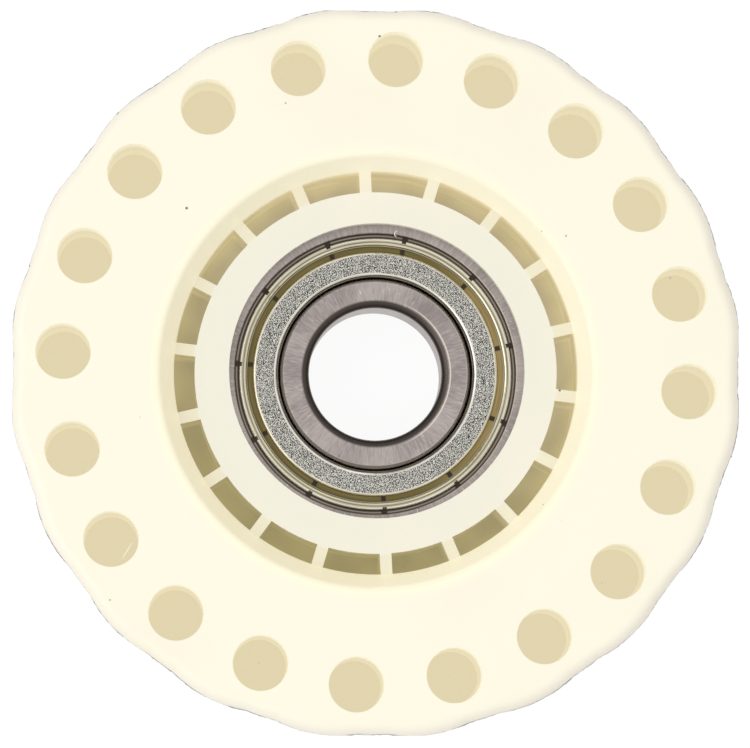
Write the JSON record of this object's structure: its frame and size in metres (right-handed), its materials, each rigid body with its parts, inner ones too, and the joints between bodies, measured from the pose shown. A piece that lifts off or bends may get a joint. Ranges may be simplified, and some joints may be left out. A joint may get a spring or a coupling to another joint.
{
  "type": "washing machine bearing wheel",
  "caption": "Thick round plastic wheel with blind pockets and spokes, moulded round a shielded ball bearing that takes a shaft through its bore.",
  "frame": {"origin": "middle of the wheel's flat back face, on the bearing's axis", "axes": "+Z along the bearing's axis, out of the pocketed front face with the shield; +X and +Y across the wheel, as seen from the front with +Y up"},
  "size_m": [0.0928, 0.0928, 0.019],
  "materials": {
    "moulded_plastic": "satin cream nylon, as moulded",
    "ring_steel": "ground",
    "shield_steel": "pressed sheet with a yellow passivated tint, blasted flat",
    "cage_steel": "pressed bright steel",
    "ball_steel": "polished"
  },
  "bodies": {
    "wheel": {"wheel_body": "moulded_plastic", "outer_ring": "ring_steel", "shield_front": "shield_steel", "shield_rear": "shield_steel"},
    "inner_ring": {"inner_ring": "ring_steel"},
    "cage": {"cage_front_half": "cage_steel", "cage_rear_half": "cage_steel", "cage_rivet_1": "cage_steel", "cage_rivet_2": "cage_steel", "cage_rivet_3": "cage_steel", "cage_rivet_4": "cage_steel", "cage_rivet_5": "cage_steel", "cage_rivet_6": "cage_steel", "cage_rivet_7": "cage_steel", "cage_rivet_8": "cage_steel"},
    "ball_1": {"ball_1": "ball_steel"},
    "ball_2": {"ball_2": "ball_steel"},
    "ball_3": {"ball_3": "ball_steel"},
    "ball_4": {"ball_4": "ball_steel"},
    "ball_5": {"ball_5": "ball_steel"},
    "ball_6": {"ball_6": "ball_steel"},
    "ball_7": {"ball_7": "ball_steel"},
    "ball_8": {"ball_8": "ball_steel"}
  },
  "joints": [
    {"name": "inner_ring_spin", "type": "hinge", "parent": "wheel", "child": "inner_ring", "pos_m": [0, 0, 0.008], "axis": [0, 0, 1], "continuous": true},
    {"name": "cage_spin", "type": "hinge", "parent": "wheel", "child": "cage", "pos_m": [0, 0, 0.008], "axis": [0, 0, 1], "continuous": true},
    {"name": "ball_1_spin", "type": "hinge", "parent": "cage", "child": "ball_1", "pos_m": [0.01425, 0, 0.008], "axis": [0, 0, 1], "continuous": true},
    {"name": "ball_2_spin", "type": "hinge", "parent": "cage", "child": "ball_2", "pos_m": [0.01008, 0.01008, 0.008], "axis": [0, 0, 1], "continuous": true},
    {"name": "ball_3_spin", "type": "hinge", "parent": "cage", "child": "ball_3", "pos_m": [0, 0.01425, 0.008], "axis": [0, 0, 1], "continuous": true},
    {"name": "ball_4_spin", "type": "hinge", "parent": "cage", "child": "ball_4", "pos_m": [-0.01008, 0.01008, 0.008], "axis": [0, 0, 1], "continuous": true},
    {"name": "ball_5_spin", "type": "hinge", "parent": "cage", "child": "ball_5", "pos_m": [-0.01425, 0, 0.008], "axis": [0, 0, 1], "continuous": true},
    {"name": "ball_6_spin", "type": "hinge", "parent": "cage", "child": "ball_6", "pos_m": [-0.01008, -0.01008, 0.008], "axis": [0, 0, 1], "continuous": true},
    {"name": "ball_7_spin", "type": "hinge", "parent": "cage", "child": "ball_7", "pos_m": [0, -0.01425, 0.008], "axis": [0, 0, 1], "continuous": true},
    {"name": "ball_8_spin", "type": "hinge", "parent": "cage", "child": "ball_8", "pos_m": [0.01008, -0.01008, 0.008], "axis": [0, 0, 1], "continuous": true}
  ],
  "couplings": [
    {"joint": "cage_spin", "follows": "inner_ring_spin", "ratio": 0.38163},
    {"joint": "ball_1_spin", "follows": "inner_ring_spin", "ratio": -1.9937},
    {"joint": "ball_2_spin", "follows": "inner_ring_spin", "ratio": -1.9937},
    {"joint": "ball_3_spin", "follows": "inner_ring_spin", "ratio": -1.9937},
    {"joint": "ball_4_spin", "follows": "inner_ring_spin", "ratio": -1.9937},
    {"joint": "ball_5_spin", "follows": "inner_ring_spin", "ratio": -1.9937},
    {"joint": "ball_6_spin", "follows": "inner_ring_spin", "ratio": -1.9937},
    {"joint": "ball_7_spin", "follows": "inner_ring_spin", "ratio": -1.9937},
    {"joint": "ball_8_spin", "follows": "inner_ring_spin", "ratio": -1.9937}
  ]
}
